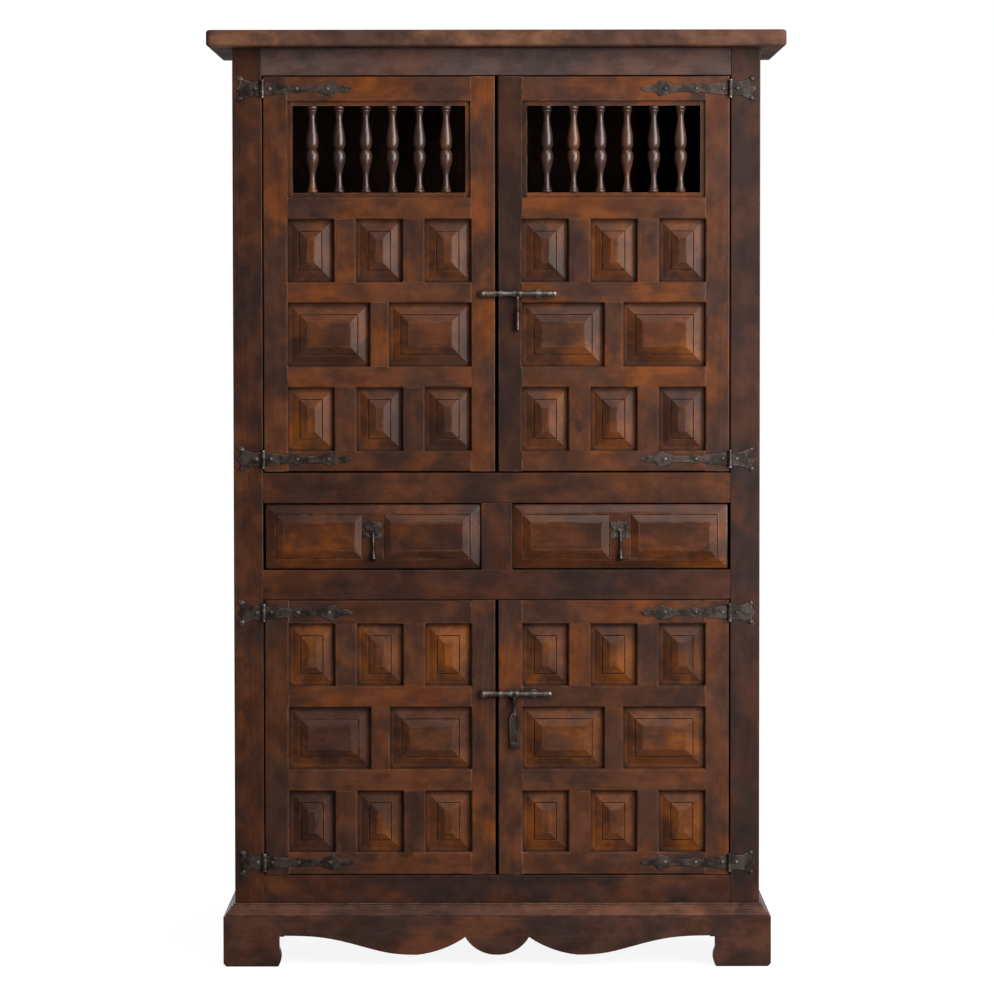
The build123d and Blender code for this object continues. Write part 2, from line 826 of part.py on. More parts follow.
def build_drawer(name, middle_x):
    """Moulded front, dovetailed box and bottom of one drawer."""
    left = middle_x - drawer_width / 2
    right = middle_x + drawer_width / 2
    with BuildPart() as front:
        block(left, right, drawer_rim_face, drawer_front_back, drawer_bottom, drawer_top)
        middle = (middle_x, drawer_middle_z)
        level = drawer_rim_face
        with BuildSketch(front_plane(level)):
            with Locations(middle):
                Rectangle(drawer_width, drawer_front_height)
        level -= drawer_band_rise
        with BuildSketch(front_plane(level)):
            with Locations(middle):
                Rectangle(
                    drawer_width - 2 * drawer_band_width, drawer_front_height - 2 * drawer_band_width,
                )
        loft()
        for span_low, span_high in drawer_field_spans():
            field = (middle_x + (span_low + span_high) / 2, drawer_middle_z)
            width = span_high - span_low
            height = drawer_front_height - 2 * drawer_band_width
            with BuildSketch(front_plane(level)):
                with Locations(field):
                    Rectangle(width, height)
                    Rectangle(
                        width - 2 * drawer_quirk_width, height - 2 * drawer_quirk_width, mode=Mode.SUBTRACT,
                    )
            extrude(amount=-drawer_quirk_depth, mode=Mode.SUBTRACT)
            inset = drawer_quirk_width
            with BuildSketch(front_plane(level)):
                with Locations(field):
                    Rectangle(width - 2 * inset, height - 2 * inset)
            inset += drawer_bevel_width
            with BuildSketch(front_plane(level - drawer_bevel_rise)):
                with Locations(field):
                    Rectangle(width - 2 * inset, height - 2 * inset)
            loft()
            inset += panel_field_fillet
            with BuildSketch(front_plane(level - drawer_bevel_rise)):
                with Locations(field):
                    Rectangle(width - 2 * inset, height - 2 * inset)
            extrude(amount=drawer_field_step)
    save(front, f"{name}_front")

    with BuildPart() as box:
        for x_low, x_high in ((left, left + drawer_box_wall), (right - drawer_box_wall, right)):
            block(x_low, x_high, drawer_front_back, drawer_box_back, drawer_side_bottom, drawer_side_top)
        block(
            left + drawer_box_wall + joint_gap, right - drawer_box_wall - joint_gap,
            drawer_box_back - drawer_box_wall,
            drawer_box_back, drawer_side_bottom + drawer_bottom_lift + drawer_bottom_thickness,
            drawer_side_top,
        )
        groove = drawer_box_wall / 2
        block(
            left + groove, right - groove, drawer_front_back, drawer_box_back,
            drawer_side_bottom + drawer_bottom_lift,
            drawer_side_bottom + drawer_bottom_lift + drawer_bottom_thickness, mode=Mode.SUBTRACT,
        )
    save(box, f"{name}_box")

    with BuildPart() as base:
        block(
            left + groove, right - groove, drawer_front_back, drawer_box_back,
            drawer_side_bottom + drawer_bottom_lift,
            drawer_side_bottom + drawer_bottom_lift + drawer_bottom_thickness,
        )
    save(base, f"{name}_bottom")


def rod(x_low, x_high, radius, y, z, mode=Mode.ADD):
    """Round bar lying along X, in the part that is being built."""
    with Locations(Location(((x_low + x_high) / 2, y, z), (0, 90, 0))):
        Cylinder(radius, x_high - x_low, mode=mode)


def nail(radius, height, shank_length):
    """Hand-made nail: a low domed head on y = 0, with its shank behind it."""
    with BuildPart() as piece:
        with Locations((0, 0, -shank_length / 2)):
            Cylinder(nail_shank_radius, shank_length)
        with Locations((0, 0, height / 2)):
            Cone(radius, radius * 0.5, height)
        fillet(piece.edges().sort_by(Axis.Z)[-1], height * 0.3)
    return piece.part.rotate(Axis.X, 90)


def build_pull(name, middle_x):
    """Iron back plate with its pivot pin, and the drop that hangs from it."""
    plate_face = front_face - pull_plate_thickness
    pivot_y = front_face - pull_stand_off
    half_w = pull_plate_width / 2
    half_h = pull_plate_height / 2
    nail_x = half_w * 0.62
    nail_z = half_h * 0.6
    eye_half = pull_ear_width / 2
    with BuildPart() as plate:
        with BuildSketch(front_plane(front_face)):
            with BuildLine():
                for side in (-1, 1):
                    for flip in (-1, 1):
                        tip = (middle_x, pull_z + flip * half_h)
                        corner_a = (middle_x + side * half_w * 0.45, pull_z + flip * half_h * 0.72)
                        corner_b = (middle_x + side * half_w * 0.95, pull_z + flip * half_h * 0.62)
                        flank = (middle_x + side * half_w * 0.7, pull_z)
                        ThreePointArc(
                            tip, (middle_x + side * half_w * 0.3, pull_z + flip * half_h * 0.95), corner_a,
                        )
                        ThreePointArc(
                            corner_a, (middle_x + side * half_w * 0.78, pull_z + flip * half_h * 0.98), corner_b,
                        )
                        ThreePointArc(
                            corner_b, (middle_x + side * half_w * 0.84, pull_z + flip * half_h * 0.3), flank,
                        )
            make_face()
        extrude(amount=pull_plate_thickness)
        for side in (-1, 1):
            x_low, x_high = sorted((
                middle_x + side * (eye_half + 0.4), middle_x + side * (eye_half + 0.4 + pull_ear_width),
            ))
            rod(x_low, x_high, pull_eye_radius, pivot_y, pull_z)
            block(
                x_low, x_high, pivot_y, plate_face, pull_z - pull_eye_radius, pull_z + pull_eye_radius,
            )
        rod(
            middle_x - eye_half - 1, middle_x + eye_half + 1, pull_pin_radius, pivot_y, pull_z,
        )
        head = nail(nail_head_radius * 0.6, nail_head_height * 0.7, pull_plate_thickness / 2)
        for x in (-nail_x, nail_x):
            for z in (-nail_z, nail_z):
                with Locations((middle_x + x, plate_face, pull_z + z)):
                    add(head)
    save(plate, f"{name}_plate")

    with BuildPart() as drop:
        with BuildSketch(Plane.XZ.offset(-pivot_y)):
            with BuildLine():
                Polyline(
                    (middle_x, pull_z), (middle_x + pull_drop_top_radius * 0.8, pull_z),
                    (middle_x + pull_drop_top_radius * 0.8, pull_z - 8),
                )
                Spline(
                    (middle_x + pull_drop_top_radius * 0.8, pull_z - 8),
                    (middle_x + pull_drop_top_radius, pull_z - pull_drop_length * 0.45),
                    (middle_x + pull_drop_bottom_radius * 0.8, pull_z - pull_drop_length * 0.84),
                    (middle_x + pull_drop_bottom_radius, pull_z - pull_drop_length * 0.93),
                    (middle_x, pull_z - pull_drop_length),
                    tangents=((0, -1), (-1, 0)),
                )
                Line((middle_x, pull_z - pull_drop_length), (middle_x, pull_z))
            make_face()
        revolve(axis=Axis((middle_x, pivot_y, 0), (0, 0, 1)))
        rod(middle_x - eye_half, middle_x + eye_half, pull_eye_radius, pivot_y, pull_z)
        block(
            middle_x - 20, middle_x - eye_half, pivot_y - 20, pivot_y + 20,
            pull_z - pull_eye_radius - 1, pull_z + 20, mode=Mode.SUBTRACT,
        )
        block(
            middle_x + eye_half, middle_x + 20, pivot_y - 20, pivot_y + 20,
            pull_z - pull_eye_radius - 1, pull_z + 20, mode=Mode.SUBTRACT,
        )
        rod(
            middle_x - 10, middle_x + 10, pull_pin_radius + hinge_pin_clearance, pivot_y, pull_z,
            mode=Mode.SUBTRACT,
        )
    save(drop, f"{name}_drop")


for drawer_name, side in (("left_drawer", -1), ("right_drawer", 1)):
    drawer_middle_x = side * (drawer_inner_x + drawer_outer_x) / 2
    build_drawer(drawer_name, drawer_middle_x)
    build_pull(f"{drawer_name}_pull", drawer_middle_x)

# ---------------------------------------------------------------- hinges

strap_root_end = 0.29 * strap_length
strap_knop = 0.38 * strap_length
strap_neck_end = 0.62 * strap_length
strap_barb = 0.785 * strap_length
strap_nails = ((14.0, 0.0), (strap_knop, 0.0), (0.725 * strap_length, 0.0))
leaf_nails = ((-13.5, 0.0), (-42.5, 19.0), (-42.5, -19.0))
knuckle_half = knuckle_height / 2
plate_face = front_face - plate_thickness
bore_radius = hinge_pin_radius + hinge_pin_clearance
plate_relief = knuckle_radius + 0.5


def hinge_point(side, reach, height, z):
    """Point of a hinge, measured from its axis towards the middle of the door."""
    return (side * (hinge_axis_x - reach), z + height)


def strap_edges(side, z):
    """Outline of a forged strap: tapering root, knop, neck, barbed leaf and knobbed tip."""
    tip_knob = (strap_barb + 2 * strap_length) / 3
    stations = (
        (plate_relief, strap_base_half),
        (strap_root_end, strap_knop_half - 1),
        (strap_root_end + 5, strap_pinch_half - 0.4),
        (strap_root_end + 9, strap_pinch_half),
        (strap_knop, strap_knop_half),
        (strap_knop + 9, strap_neck_half),
        (strap_neck_end, strap_neck_half - 0.6),
        ((strap_neck_end + strap_barb) / 2, strap_barb_half * 0.72),
        (strap_barb, strap_barb_half),
        (strap_barb + 6, strap_barb_half * 0.6),
        (strap_barb + 13, strap_tip_half * 0.7),
        (tip_knob, strap_tip_half),
        (tip_knob + 6, strap_tip_half * 0.6),
        (strap_length, 0),
    )
    for flip in (-1, 1):
        path = [hinge_point(side, reach, flip * half, z) for reach, half in stations]
        Line(path[0], path[1])
        ThreePointArc(*path[1:4])
        ThreePointArc(*path[3:6])
        Line(path[5], path[6])
        ThreePointArc(*path[6:9])
        ThreePointArc(*path[8:11])
        ThreePointArc(*path[10:13])
        Line(path[12], path[13])
    Line(
        hinge_point(side, plate_relief, strap_base_half, z),
        hinge_point(side, plate_relief, -strap_base_half, z),
    )


def leaf_edges(side, z):
    """Outline of the leaf on the stile, which flares to a scalloped swallow tail."""
    for flip in (-1, 1):
        path = [hinge_point(side, -reach, flip * half, z) for reach, half in (
            (0, leaf_root_half + 3), (14, leaf_root_half + 0.5), (30, leaf_root_half + 3.5),
            (38.5, leaf_end_half - 4.5), (45, leaf_end_half), (leaf_length, leaf_end_half - 4.5),
            (leaf_length - 6.5, leaf_end_half * 0.44), (leaf_length - 2, 2.6), (leaf_length, 0),
        )]
        Line(path[0], path[1])
        ThreePointArc(*path[1:4])
        ThreePointArc(*path[3:6])
        ThreePointArc(*path[5:8])
        Line(path[7], path[8])
    Line(hinge_point(side, 0, leaf_root_half + 3, z), hinge_point(side, 0, -leaf_root_half - 3, z))


def knuckle(side, z_low, z_high, mode=Mode.ADD, radius=knuckle_radius):
    """Upright barrel, or bore, on the hinge axis."""
    with Locations((side * hinge_axis_x, hinge_axis_y, (z_low + z_high) / 2)):
        Cylinder(radius, z_high - z_low, mode=mode)


def plate_holes(side, z, places):
    """Nail holes through the plate that is being built."""
    for reach, height in places:
        x, hole_z = hinge_point(side, reach, height, z)
        with Locations(Location((x, front_face - plate_thickness / 2, hole_z), (90, 0, 0))):
            Cylinder(nail_shank_radius + 0.05, plate_thickness, mode=Mode.SUBTRACT)


def strap(side, z):
    """Door half of a hinge: the strap and the middle knuckle."""
    with BuildPart() as piece:
        with BuildSketch(front_plane(front_face)):
            with BuildLine():
                strap_edges(side, z)
            make_face()
        extrude(amount=plate_thickness)
        x_low, x_high = sorted((side * hinge_axis_x, side * (hinge_axis_x - plate_relief - 1)))
        block(x_low, x_high, plate_face, front_face, z - knuckle_half, z + knuckle_half)
        knuckle(side, z - knuckle_half, z + knuckle_half)
        knuckle(side, z - knuckle_half, z + knuckle_half, Mode.SUBTRACT, bore_radius)
        plate_holes(side, z, strap_nails)
    return piece.part


def leaf(side, z):
    """Stile half of a hinge: the leaf and the two outer knuckles."""
    reach = knuckle_half + knuckle_gap
    with BuildPart() as piece:
        with BuildSketch(front_plane(front_face)):
            with BuildLine():
                leaf_edges(side, z)
            make_face()
        extrude(amount=plate_thickness)
        x_low, x_high = sorted((side * (hinge_axis_x - 1), side * (hinge_axis_x + plate_relief)))
        block(x_low, x_high, plate_face - 1, front_face + 1, z - reach, z + reach, Mode.SUBTRACT)
        for flip in (-1, 1):
            z_low, z_high = sorted((z + flip * reach, z + flip * (reach + knuckle_height)))
            knuckle(side, z_low, z_high)
            knuckle(side, z_low, z_high, Mode.SUBTRACT, bore_radius)
        plate_holes(side, z, leaf_nails)
    return piece.part


hinge_rows = {
    "upper": (upper_door_bottom + hinge_height_in_door, upper_door_top - hinge_height_in_door),
    "lower": (lower_door_bottom + hinge_height_in_door, lower_door_top - hinge_height_in_door),
}
hinge_nail = nail(nail_head_radius, nail_head_height, plate_thickness)

with BuildPart() as hinge_leaves:
    for side in (-1, 1):
        for heights in hinge_rows.values():
            for z in heights:
                add(leaf(side, z))
save(hinge_leaves, "hinge_leaves")

with BuildPart() as hinge_leaf_nails:
    for side in (-1, 1):
        for heights in hinge_rows.values():
            for z in heights:
                for reach, height in leaf_nails:
                    x, nail_z = hinge_point(side, reach, height, z)
                    with Locations((x, plate_face, nail_z)):
                        add(hinge_nail)
save(hinge_leaf_nails, "hinge_leaf_nails")

pin_half = 1.5 * knuckle_height + knuckle_gap
with BuildPart() as hinge_pins:
    for side in (-1, 1):
        for heights in hinge_rows.values():
            for z in heights:
                knuckle(side, z - pin_half, z + pin_half, Mode.ADD, hinge_pin_radius)
                for z_low in (z - pin_half - hinge_pin_head_height, z + pin_half):
                    knuckle(side, z_low, z_low + hinge_pin_head_height, Mode.ADD, hinge_pin_head_radius)
save(hinge_pins, "hinge_pins")

for door_name, side, upper in doors:
    heights = hinge_rows["upper" if upper else "lower"]
    with BuildPart() as hinge_straps:
        for z in heights:
            add(strap(side, z))
    save(hinge_straps, f"{door_name}_hinge_straps")
    with BuildPart() as hinge_nails:
        for z in heights:
            for reach, height in strap_nails:
                x, nail_z = hinge_point(side, reach, height, z)
                with Locations((x, plate_face, nail_z)):
                    add(hinge_nail)
    save(hinge_nails, f"{door_name}_hinge_nails")

# ---------------------------------------------------------------- sliding bolts

bolt_start = bolt_tip_gap
bolt_bore = bolt_radius + bolt_bore_clearance


def ring_with_foot(x_low, x_high, z, radius):
    """Eye round the bolt, on a web that stands on a round foot on the door."""
    middle = (x_low + x_high) / 2
    rod(x_low, x_high, radius, bolt_axis_y, z)
    block(
        x_low, x_high, bolt_axis_y, front_face - staple_foot_thickness / 2,
        z - staple_web_thickness / 2, z + staple_web_thickness / 2,
    )
    foot_radius = min(staple_foot_radius, middle - door_gap / 2 if middle > 0 else staple_foot_radius)
    with Locations(Location((middle, front_face - staple_foot_thickness / 2, z), (90, 0, 0))):
        Cylinder(foot_radius, staple_foot_thickness)


def build_bolt(name, z, length, hub_x, handle_length, hasp):
    """Sliding bolt with its hanging handle or hasp, its staples, and the keeper on the other door."""
    bolt_end = bolt_start + length
    hub_low = hub_x - bolt_hub_half
    hub_high = hub_x + bolt_hub_half
    with BuildPart() as bolt:
        rod(bolt_start, bolt_end - bolt_knob_radius, bolt_radius, bolt_axis_y, z)
        fillet(bolt.edges().sort_by(Axis.X)[0], 0.8)
        rod(hub_low, hub_low + bolt_hub_collar, bolt_hub_radius, bolt_axis_y, z)
        rod(hub_high - bolt_hub_collar, hub_high, bolt_hub_radius, bolt_axis_y, z)
        with Locations((bolt_end - bolt_knob_radius, bolt_axis_y, z)):
            Sphere(bolt_knob_radius)
    save(bolt, f"{name}")

    with BuildPart() as staples:
        near_middle = near_staple_offset
        for middle, width in ((near_middle, near_staple_width), (bolt_end - far_staple_inset, far_staple_width)):
            ring_with_foot(middle - width / 2, middle + width / 2, z, staple_ring_radius)
            rod(
                middle - width / 2 - 1, middle + width / 2 + 1, bolt_bore, bolt_axis_y, z,
                mode=Mode.SUBTRACT,
            )
    save(staples, f"{name}_staples")

    with BuildPart() as keeper:
        knob_x = keeper_knob_radius - keeper_length
        rod(knob_x, 0, keeper_radius, bolt_axis_y, z)
        with Locations((knob_x, bolt_axis_y, z)):
            Sphere(keeper_knob_radius)
        block(
            knob_x, -door_gap, bolt_axis_y, front_face,
            z - staple_web_thickness / 2, z + staple_web_thickness / 2,
        )
        rod(-keeper_bore_depth, 1, bolt_bore, bolt_axis_y, z, mode=Mode.SUBTRACT)
    save(keeper, f"{name}_keeper")

    eye_half = bolt_hub_half - bolt_hub_collar - 0.4
    with BuildPart() as handle:
        rod(hub_x - eye_half, hub_x + eye_half, handle_eye_radius, bolt_axis_y, z)
        stem_top = z - handle_eye_radius + 1
        stem_end = z - handle_length
        with BuildSketch(Plane.XZ.offset(-bolt_axis_y)):
            with BuildLine():
                if hasp:
                    hasp_neck_profile(hub_x, stem_top, stem_top - hasp_neck_length)
                else:
                    grip_profile(hub_x, stem_top, stem_end)
            make_face()
        revolve(axis=Axis((hub_x, bolt_axis_y, 0), (0, 0, 1)))
        if hasp:
            add(hasp_plate(hub_x, stem_top - hasp_neck_length, stem_end))
        rod(
            hub_x - eye_half - 1, hub_x + eye_half + 1, bolt_radius + handle_eye_clearance,
            bolt_axis_y, z, mode=Mode.SUBTRACT,
        )
    save(handle, f"{name}_handle")


def grip_profile(x, top, end):
    """Half outline of a hanging handle: waisted neck, knot and grip with a rounded foot."""
    grip = upper_handle_grip_radius
    neck = grip * 0.5
    knot = top - (top - end) * upper_handle_knot
    rounding = grip * 0.6
    Polyline(
        (x, top), (x + grip * 0.75, top), (x + neck, (top + knot) / 2), (x + neck, knot + 2.6),
        (x + neck + 1.7, knot + 0.9), (x + neck + 1.7, knot - 0.9), (x + neck, knot - 2.6),
        (x + grip, knot - 6.6), (x + grip, end + rounding), (x + grip - rounding, end), (x, end),
        close=True,
    )


def hasp_neck_profile(x, top, end):
    """Half outline of the round neck between the eye and the plate of a hasp."""
    root = hasp_width * 0.24
    waist = hasp_width * 0.15
    Line((x, top), (x + root, top))
    Spline(
        (x + root, top), (x + waist, (top + end) / 2), (x + waist, end),
        tangents=((0, -1), (0, -1)),
    )
    Polyline((x + waist, end), (x, end), (x, top))


def hasp_plate(x, top, end):
    """Flat plate of a hasp, hung from its neck, with a lip turned forwards at its foot."""
    plate_back = bolt_axis_y + hasp_thickness / 2
    neck_half = hasp_width * 0.2
    foot_half = hasp_width * 0.42
    with BuildPart() as plate:
        with BuildSketch(front_plane(plate_back)):
            with BuildLine():
                Polyline(
                    (x - neck_half, top + hasp_thickness), (x + neck_half, top + hasp_thickness),
                    (x + hasp_width / 2, top - hasp_width / 2), (x + foot_half, end),
                    (x - foot_half, end), (x - hasp_width / 2, top - hasp_width / 2), close=True,
                )
            make_face()
        extrude(amount=hasp_thickness)
        block(
            x - foot_half, x + foot_half, plate_back - hasp_thickness - hasp_lip_depth,
            plate_back, end, end + hasp_lip_height,
        )
        lip_front = plate.edges().filter_by(Axis.X).group_by(Axis.Y)[0]
        fillet(lip_front, hasp_lip_depth / 2)
    return plate.part


build_bolt("upper_bolt", upper_bolt_height, upper_bolt_length, upper_bolt_hub, upper_handle_length, False)
build_bolt("lower_bolt", lower_bolt_height, lower_bolt_length, lower_bolt_hub, lower_handle_length, True)
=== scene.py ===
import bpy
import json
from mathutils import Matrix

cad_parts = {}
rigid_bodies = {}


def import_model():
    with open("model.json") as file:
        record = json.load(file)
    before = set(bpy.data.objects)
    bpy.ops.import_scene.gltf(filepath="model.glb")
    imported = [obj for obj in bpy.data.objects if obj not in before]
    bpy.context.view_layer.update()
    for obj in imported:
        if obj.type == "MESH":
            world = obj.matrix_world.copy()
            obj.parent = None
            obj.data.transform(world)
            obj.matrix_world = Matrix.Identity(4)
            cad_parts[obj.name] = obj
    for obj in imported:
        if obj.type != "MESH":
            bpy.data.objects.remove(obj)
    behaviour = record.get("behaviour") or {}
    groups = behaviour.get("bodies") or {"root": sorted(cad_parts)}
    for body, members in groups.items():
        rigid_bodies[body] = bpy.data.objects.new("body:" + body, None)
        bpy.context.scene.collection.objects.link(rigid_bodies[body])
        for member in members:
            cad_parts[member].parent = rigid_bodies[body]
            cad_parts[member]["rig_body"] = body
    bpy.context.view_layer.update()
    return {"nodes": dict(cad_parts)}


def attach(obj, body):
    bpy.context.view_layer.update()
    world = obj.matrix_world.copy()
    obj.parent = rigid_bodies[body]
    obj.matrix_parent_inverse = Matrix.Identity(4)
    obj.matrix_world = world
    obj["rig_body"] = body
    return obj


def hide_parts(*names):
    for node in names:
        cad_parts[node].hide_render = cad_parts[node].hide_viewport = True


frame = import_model()

import json
import math
import random

import bmesh
import bpy
from mathutils import Vector

# ------------------------------------------------------------------ studio
# The cupboard stands on a plain white studio floor, seen square on from seven and a
# half metres with a long lens at chest height, which keeps its uprights nearly parallel.

scene = bpy.context.scene
scene.view_settings.view_transform = "Standard"

lens = bpy.data.cameras.new("long_lens")
lens.sensor_width = 36.0
lens.lens = 138.27
lens.shift_y = -0.04
lens.clip_end = 400.0
tilt_down = math.radians(2.3013)
roll = math.radians(0.06)
camera = bpy.data.objects.new("long_lens", lens)
camera.location = (0.001, -7.69, 1.3056)
camera.rotation_euler = (math.radians(90) - tilt_down, roll, 0.0)
scene.collection.objects.link(camera)
scene.camera = camera


def softbox(name, place, aim, width, height, watts, tint):
    """Rectangular studio lamp at a place, turned towards the point that it lights."""
    lamp = bpy.data.lights.new(name, "AREA")
    lamp.shape = "RECTANGLE"
    lamp.size, lamp.size_y = width, height
    lamp.energy = watts
    lamp.color = tint
    stand = bpy.data.objects.new(name, lamp)
    stand.location = place
    stand.rotation_euler = (Vector(aim) - Vector(place)).to_track_quat("-Z", "Y").to_euler()
    scene.collection.objects.link(stand)


softbox("right_softbox", place=(3.2, -2.9, 2.3), aim=(0.1, -0.1, 1.2),
        width=2.6, height=3.0, watts=190.0, tint=(1.0, 0.985, 0.97))
softbox("top_softbox", place=(1.2, -3.4, 4.5), aim=(0.1, -0.1, 1.3),
        width=3.0, height=2.9, watts=85.0, tint=(1.0, 0.99, 0.985))
softbox("right_strip", place=(1.75, -4.3, 1.4), aim=(0.3, -0.2, 1.1),
        width=0.5, height=2.8, watts=58.0, tint=(1.0, 0.985, 0.97))
softbox("left_fill", place=(-4.2, -3.0, 1.4), aim=(0.0, 0.0, 0.9),
        width=1.6, height=2.2, watts=4.0, tint=(0.95, 0.97, 1.0))
softbox("back_fill", place=(-1.2, 3.8, 3.0), aim=(0.0, 0.2, 0.9),
        width=2.2, height=2.2, watts=110.0, tint=(1.0, 1.0, 1.0))


def wire(tree, kind, sockets=None, **settings):
    """Add a node to a tree, set it, and feed its sockets from values or from other sockets."""
    node = tree.nodes.new(kind)
    for name, value in settings.items():
        setattr(node, name, value)
    for name, value in (sockets or {}).items():
        if isinstance(value, bpy.types.NodeSocket):
            tree.links.new(value, node.inputs[name])
        else:
            node.inputs[name].default_value = value
    return node


def maths(tree, operation, first, second=0.0, third=0.0, clamp=False):
    """One sum in a tree, as the socket that holds its result."""
    return wire(tree, "ShaderNodeMath", {0: first, 1: second, 2: third},
                operation=operation, use_clamp=clamp).outputs[0]


def ranged(tree, value, low=0.0, high=1.0, to_low=0.0, to_high=1.0, smooth=True):
    """Value mapped from one range to another and kept inside it, easing in and out where smooth."""
    return wire(tree, "ShaderNodeMapRange", {
        "Value": value, "From Min": low, "From Max": high, "To Min": to_low, "To Max": to_high},
        interpolation_type="SMOOTHSTEP" if smooth else "LINEAR").outputs["Result"]


def blended(tree, factor, first, second):
    """Value between two others."""
    return wire(tree, "ShaderNodeMix", {"Factor": factor, "A": first, "B": second},
                data_type="FLOAT").outputs[0]


def looked_at(tree, path):
    """1 for every ray that shows a thing to the eye: straight, in a reflection or through glass."""
    seen = maths(tree, "MAXIMUM", path.outputs["Is Camera Ray"], path.outputs["Is Glossy Ray"])
    return maths(tree, "MAXIMUM", seen, path.outputs["Is Transmission Ray"])


# White paper all round, while reflections see a dark room on the lens's side.
white, dark_room, dim_air = 1.0, 0.04, 0.14
studio = bpy.data.worlds.new("white_studio")
studio.use_nodes = True
air = studio.node_tree
air.nodes.clear()
sight = wire(air, "ShaderNodeLightPath")
towards = wire(air, "ShaderNodeTexCoord")
heading = wire(air, "ShaderNodeSeparateXYZ", {0: towards.outputs["Generated"]})
reflected = ranged(air, heading.outputs["Y"], low=-0.05, high=0.35,
                   to_low=dark_room, to_high=white, smooth=False)
backdrop = blended(air, sight.outputs["Is Camera Ray"], reflected, white)
level = blended(air, looked_at(air, sight), dim_air, backdrop)
sky = wire(air, "ShaderNodeBackground", {"Color": (1.0, 1.0, 1.0, 1.0), "Strength": level})
wire(air, "ShaderNodeOutputWorld", {"Surface": sky.outputs[0]})
scene.world = studio

# The floor glows under its shadows, brighter far off, where it runs into the backdrop.
floor_reach = 150.0
corners = [(-floor_reach, -floor_reach, 0), (floor_reach, -floor_reach, 0),
           (floor_reach, floor_reach, 0), (-floor_reach, floor_reach, 0)]
floor_mesh = bpy.data.meshes.new("studio_floor")
floor_mesh.from_pydata(corners, [], [(0, 1, 2, 3)])
floor = bpy.data.objects.new("studio_floor", floor_mesh)
scene.collection.objects.link(floor)

matt_grey, near_glow = 0.4, 0.9
paper = bpy.data.materials.new("white_floor")
paper.use_nodes = True
sheet = paper.node_tree
sheet.nodes.clear()
path = wire(sheet, "ShaderNodeLightPath")
place = wire(sheet, "ShaderNodeNewGeometry")
spread = wire(sheet, "ShaderNodeSeparateXYZ", {0: place.outputs["Position"]})
far_off = wire(sheet, "ShaderNodeVectorMath", {0: place.outputs["Position"]}, operation="LENGTH")
reflected = ranged(sheet, spread.outputs["Y"], low=-0.3, high=0.6,
                   to_low=0.02, to_high=near_glow, smooth=False)
seen_glow = ranged(sheet, far_off.outputs["Value"], low=2.0, high=7.0,
                   to_low=near_glow, to_high=white, smooth=False)
strength = blended(sheet, path.outputs["Is Camera Ray"], reflected, seen_glow)
glow = wire(sheet, "ShaderNodeEmission", {"Color": (1.0, 1.0, 1.0, 1.0), "Strength": strength})
paleness = ranged(sheet, path.outputs["Is Camera Ray"], to_low=0.03, to_high=0.2, smooth=False)
shaded = wire(sheet, "ShaderNodeBsdfDiffuse", {"Color": paleness})
lit = wire(sheet, "ShaderNodeAddShader", {0: shaded.outputs[0], 1: glow.outputs[0]})
matt = wire(sheet, "ShaderNodeBsdfDiffuse", {"Color": (matt_grey, matt_grey, matt_grey, 1.0)})
blend = wire(sheet, "ShaderNodeMixShader", {
    0: looked_at(sheet, path), 1: matt.outputs[0], 2: lit.outputs[0]})
wire(sheet, "ShaderNodeOutputMaterial", {"Surface": blend.outputs[0]})
floor_mesh.materials.append(paper)

# ---------------------------------------------------------- carcass boards
# The carcass is solid pine boards, stained dark walnut and lacquered to a satin.
# Sides, front frame and top are glued and pegged, with every arris eased by hand.


def boards_of(node):
    """Each board of one CAD node as its own mesh with whole faces, in order of place."""
    same_point = 2e-6
    whole = bmesh.new()
    whole.from_mesh(frame["nodes"][node].data)
    bmesh.ops.remove_doubles(whole, verts=whole.verts, dist=same_point)
    whole.verts.index_update()
    owner = [-1] * len(whole.verts)
    boards = []
    for start in whole.verts:
        if owner[start.index] >= 0:
            continue
        owner[start.index] = len(boards)
        reached = [start]
        for vert in reached:
            for edge in vert.link_edges:
                other = edge.other_vert(vert)
                if owner[other.index] < 0:
                    owner[other.index] = len(boards)
                    reached.append(other)
        board = bmesh.new()
        copies = {vert.index: board.verts.new(vert.co) for vert in reached}
        boards.append((board, copies))
    for face in whole.faces:
        board, copies = boards[owner[face.verts[0].index]]
        board.faces.new([copies[vert.index] for vert in face.verts])
    whole.free()
    boards = [board for board, copies in boards]
    return sorted(boards, key=lambda board: [
        round(sum(vert.co[axis] for vert in board.verts) / len(board.verts), 3)
        for axis in range(3)])


def ease_arrises(board, width):
    """Round every sharp outer edge of a board by hand plane and sandpaper."""
    one_face, sharp_turn = math.radians(0.4), math.radians(28)
    bmesh.ops.dissolve_limit(board, angle_limit=one_face, verts=board.verts, edges=board.edges)
    sharp = [edge for edge in board.edges
             if len(edge.link_faces) == 2 and edge.is_convex
             and edge.calc_face_angle(0.0) > sharp_turn]
    if width > 0 and sharp:
        bmesh.ops.bevel(
            board, geom=sharp, offset=width, offset_type="OFFSET", segments=2,
            profile=0.5, affect="EDGES", clamp_overlap=True)


